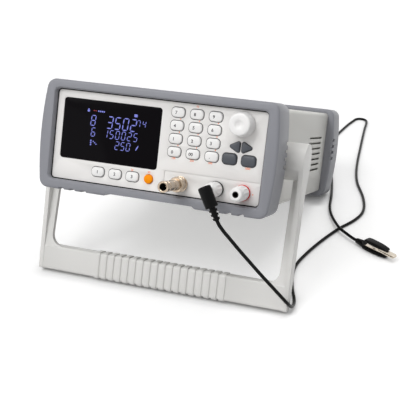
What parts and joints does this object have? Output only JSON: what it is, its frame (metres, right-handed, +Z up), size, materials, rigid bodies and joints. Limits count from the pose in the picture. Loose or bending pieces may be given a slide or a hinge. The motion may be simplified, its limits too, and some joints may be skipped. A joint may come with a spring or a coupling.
{
  "type": "footwear resistance tester",
  "caption": "Bench resistance tester in a metal case between rubber bumpers, standing on a swinging bail, with keypad, knob, display, coaxial output, binding posts and a test lead with a clip.",
  "frame": {"origin": "on the table under the middle of the instrument, halfway between the tip of the coaxial connector and the back of the rear bumper, on the case's middle plane", "axes": "+X to the right as seen from the front, +Y from the front panel to the back along the table, +Z up; the case leans back on its bail"},
  "size_m": [0.3496, 0.6354, 0.2066],
  "materials": {
    "bumper_rubber": "matt grey elastomer",
    "case_paint": "ivory powder coat",
    "panel_plastic": "fine matt",
    "display_black": "glossy tinted",
    "display_glass": "glossy",
    "board": "solder mask",
    "steel": "zinc plated",
    "white_plastic": "satin",
    "slate_plastic": "satin",
    "orange_plastic": "satin",
    "nickel": "polished nickel",
    "red_plastic": "glossy",
    "black_plastic": "satin",
    "handle_plastic": "fine matt",
    "iron": "varnished laminations",
    "lead_pvc": "glossy soft vinyl"
  },
  "bodies": {
    "instrument": {"front_bumper": "bumper_rubber", "rear_bumper": "bumper_rubber", "top_cover": "case_paint", "bottom_cover": "case_paint", "front_panel": "panel_plastic", "terminal_plate": "panel_plastic", "display_window": "display_black", "display_module": "display_glass", "keypad_board": "board", "encoder_body": "steel", "coax_jack": "nickel", "coax_adapter": "nickel", "black_post_base": "black_plastic", "red_post_base": "red_plastic", "post_studs": "nickel", "detent_discs": "handle_plastic", "pivot_bolts": "steel", "main_board": "board", "transformer": "iron", "rear_panel": "case_paint", "mains_inlet": "black_plastic", "rear_ports": "steel", "cover_screws": "steel", "plug_body": "lead_pvc", "plug_pin": "nickel", "test_lead": "lead_pvc", "clip_lower_jaw": "nickel", "clip_lower_shell": "black_plastic", "clip_spring": "steel"},
    "handle": {"handle": "handle_plastic"},
    "knob": {"knob": "white_plastic", "encoder_shaft": "steel"},
    "coax_ring": {"coax_ring": "nickel"},
    "black_post_cap": {"black_post_cap": "white_plastic"},
    "red_post_cap": {"red_post_cap": "white_plastic"},
    "fuse_drawer": {"fuse_drawer": "black_plastic", "fuse": "steel"},
    "power_rocker": {"power_rocker": "black_plastic"},
    "clip_upper_half": {"clip_upper_jaw": "nickel", "clip_upper_shell": "black_plastic"},
    "key_row1_left": {"key_row1_left": "white_plastic"},
    "key_row1_middle": {"key_row1_middle": "white_plastic"},
    "key_row1_right": {"key_row1_right": "white_plastic"},
    "key_row2_left": {"key_row2_left": "white_plastic"},
    "key_row2_middle": {"key_row2_middle": "white_plastic"},
    "key_row2_right": {"key_row2_right": "white_plastic"},
    "key_row3_left": {"key_row3_left": "white_plastic"},
    "key_row3_middle": {"key_row3_middle": "white_plastic"},
    "key_row3_right": {"key_row3_right": "white_plastic"},
    "key_row4_left": {"key_row4_left": "white_plastic"},
    "key_row4_middle": {"key_row4_middle": "white_plastic"},
    "key_row4_right": {"key_row4_right": "white_plastic"},
    "menu_key_left": {"menu_key_left": "white_plastic"},
    "menu_key_middle": {"menu_key_middle": "white_plastic"},
    "menu_key_right": {"menu_key_right": "white_plastic"},
    "start_button": {"start_button": "orange_plastic"},
    "arrow_key_left": {"arrow_key_left": "slate_plastic"},
    "arrow_key_right": {"arrow_key_right": "slate_plastic"},
    "cancel_key": {"cancel_key": "slate_plastic"},
    "confirm_key": {"confirm_key": "slate_plastic"}
  },
  "joints": [
    {"name": "handle_swing", "type": "hinge", "parent": "instrument", "child": "handle", "pos_m": [0, -0.07873, 0.13569], "axis": [1, 0, 0], "range_deg": [-235, 60], "deforming": ["test_lead"]},
    {"name": "knob_turn", "type": "hinge", "parent": "instrument", "child": "knob", "pos_m": [0.0815, -0.13201, 0.18643], "axis": [0, -0.9444, 0.3288], "continuous": true},
    {"name": "coax_ring_turn", "type": "hinge", "parent": "instrument", "child": "coax_ring", "pos_m": [0.0277, -0.15213, 0.12863], "axis": [0, -0.9444, 0.3288], "range_deg": [0, 90]},
    {"name": "black_cap_turn", "type": "hinge", "parent": "instrument", "child": "black_post_cap", "pos_m": [0.0626, -0.15402, 0.12929], "axis": [0, -0.9444, 0.3288], "range_deg": [0, 720]},
    {"name": "red_cap_turn", "type": "hinge", "parent": "instrument", "child": "red_post_cap", "pos_m": [0.088, -0.15402, 0.12929], "axis": [0, -0.9444, 0.3288], "range_deg": [0, 720]},
    {"name": "fuse_drawer_slide", "type": "slide", "parent": "instrument", "child": "fuse_drawer", "axis": [0, 0.9444, -0.3288], "range_m": [0, 0.016]},
    {"name": "rocker_flip", "type": "hinge", "parent": "instrument", "child": "power_rocker", "pos_m": [-0.054, 0.16185, 0.0405], "axis": [1, 0, 0], "range_deg": [0, 14]},
    {"name": "clip_open", "type": "hinge", "parent": "instrument", "child": "clip_upper_half", "pos_m": [0.1962, 0.0174, 0.0065], "axis": [-0.5299, -0.848, 0], "range_deg": [0, 12], "stiffness_Nm_per_rad": 0.1, "springref_deg": -17.19, "deforming": ["clip_spring"]},
    {"name": "key_row1_left_press", "type": "slide", "parent": "instrument", "child": "key_row1_left", "axis": [0, 0.9444, -0.3288], "range_m": [0, 0.0008], "stiffness_N_per_m": 1500, "springref_m": -0.0003},
    {"name": "key_row1_middle_press", "type": "slide", "parent": "instrument", "child": "key_row1_middle", "axis": [0, 0.9444, -0.3288], "range_m": [0, 0.0008], "stiffness_N_per_m": 1500, "springref_m": -0.0003},
    {"name": "key_row1_right_press", "type": "slide", "parent": "instrument", "child": "key_row1_right", "axis": [0, 0.9444, -0.3288], "range_m": [0, 0.0008], "stiffness_N_per_m": 1500, "springref_m": -0.0003},
    {"name": "key_row2_left_press", "type": "slide", "parent": "instrument", "child": "key_row2_left", "axis": [0, 0.9444, -0.3288], "range_m": [0, 0.0008], "stiffness_N_per_m": 1500, "springref_m": -0.0003},
    {"name": "key_row2_middle_press", "type": "slide", "parent": "instrument", "child": "key_row2_middle", "axis": [0, 0.9444, -0.3288], "range_m": [0, 0.0008], "stiffness_N_per_m": 1500, "springref_m": -0.0003},
    {"name": "key_row2_right_press", "type": "slide", "parent": "instrument", "child": "key_row2_right", "axis": [0, 0.9444, -0.3288], "range_m": [0, 0.0008], "stiffness_N_per_m": 1500, "springref_m": -0.0003},
    {"name": "key_row3_left_press", "type": "slide", "parent": "instrument", "child": "key_row3_left", "axis": [0, 0.9444, -0.3288], "range_m": [0, 0.0008], "stiffness_N_per_m": 1500, "springref_m": -0.0003},
    {"name": "key_row3_middle_press", "type": "slide", "parent": "instrument", "child": "key_row3_middle", "axis": [0, 0.9444, -0.3288], "range_m": [0, 0.0008], "stiffness_N_per_m": 1500, "springref_m": -0.0003},
    {"name": "key_row3_right_press", "type": "slide", "parent": "instrument", "child": "key_row3_right", "axis": [0, 0.9444, -0.3288], "range_m": [0, 0.0008], "stiffness_N_per_m": 1500, "springref_m": -0.0003},
    {"name": "key_row4_left_press", "type": "slide", "parent": "instrument", "child": "key_row4_left", "axis": [0, 0.9444, -0.3288], "range_m": [0, 0.0008], "stiffness_N_per_m": 1500, "springref_m": -0.0003},
    {"name": "key_row4_middle_press", "type": "slide", "parent": "instrument", "child": "key_row4_middle", "axis": [0, 0.9444, -0.3288], "range_m": [0, 0.0008], "stiffness_N_per_m": 1500, "springref_m": -0.0003},
    {"name": "key_row4_right_press", "type": "slide", "parent": "instrument", "child": "key_row4_right", "axis": [0, 0.9444, -0.3288], "range_m": [0, 0.0008], "stiffness_N_per_m": 1500, "springref_m": -0.0003},
    {"name": "menu_key_left_press", "type": "slide", "parent": "instrument", "child": "menu_key_left", "axis": [0, 0.9444, -0.3288], "range_m": [0, 0.0008], "stiffness_N_per_m": 1500, "springref_m": -0.0003},
    {"name": "menu_key_middle_press", "type": "slide", "parent": "instrument", "child": "menu_key_middle", "axis": [0, 0.9444, -0.3288], "range_m": [0, 0.0008], "stiffness_N_per_m": 1500, "springref_m": -0.0003},
    {"name": "menu_key_right_press", "type": "slide", "parent": "instrument", "child": "menu_key_right", "axis": [0, 0.9444, -0.3288], "range_m": [0, 0.0008], "stiffness_N_per_m": 1500, "springref_m": -0.0003},
    {"name": "start_button_press", "type": "slide", "parent": "instrument", "child": "start_button", "axis": [0, 0.9444, -0.3288], "range_m": [0, 0.0008], "stiffness_N_per_m": 1500, "springref_m": -0.0003},
    {"name": "arrow_key_left_press", "type": "slide", "parent": "instrument", "child": "arrow_key_left", "axis": [0, 0.9444, -0.3288], "range_m": [0, 0.0008], "stiffness_N_per_m": 1500, "springref_m": -0.0003},
    {"name": "arrow_key_right_press", "type": "slide", "parent": "instrument", "child": "arrow_key_right", "axis": [0, 0.9444, -0.3288], "range_m": [0, 0.0008], "stiffness_N_per_m": 1500, "springref_m": -0.0003},
    {"name": "cancel_key_press", "type": "slide", "parent": "instrument", "child": "cancel_key", "axis": [0, 0.9444, -0.3288], "range_m": [0, 0.0008], "stiffness_N_per_m": 1500, "springref_m": -0.0003},
    {"name": "confirm_key_press", "type": "slide", "parent": "instrument", "child": "confirm_key", "axis": [0, 0.9444, -0.3288], "range_m": [0, 0.0008], "stiffness_N_per_m": 1500, "springref_m": -0.0003}
  ]
}
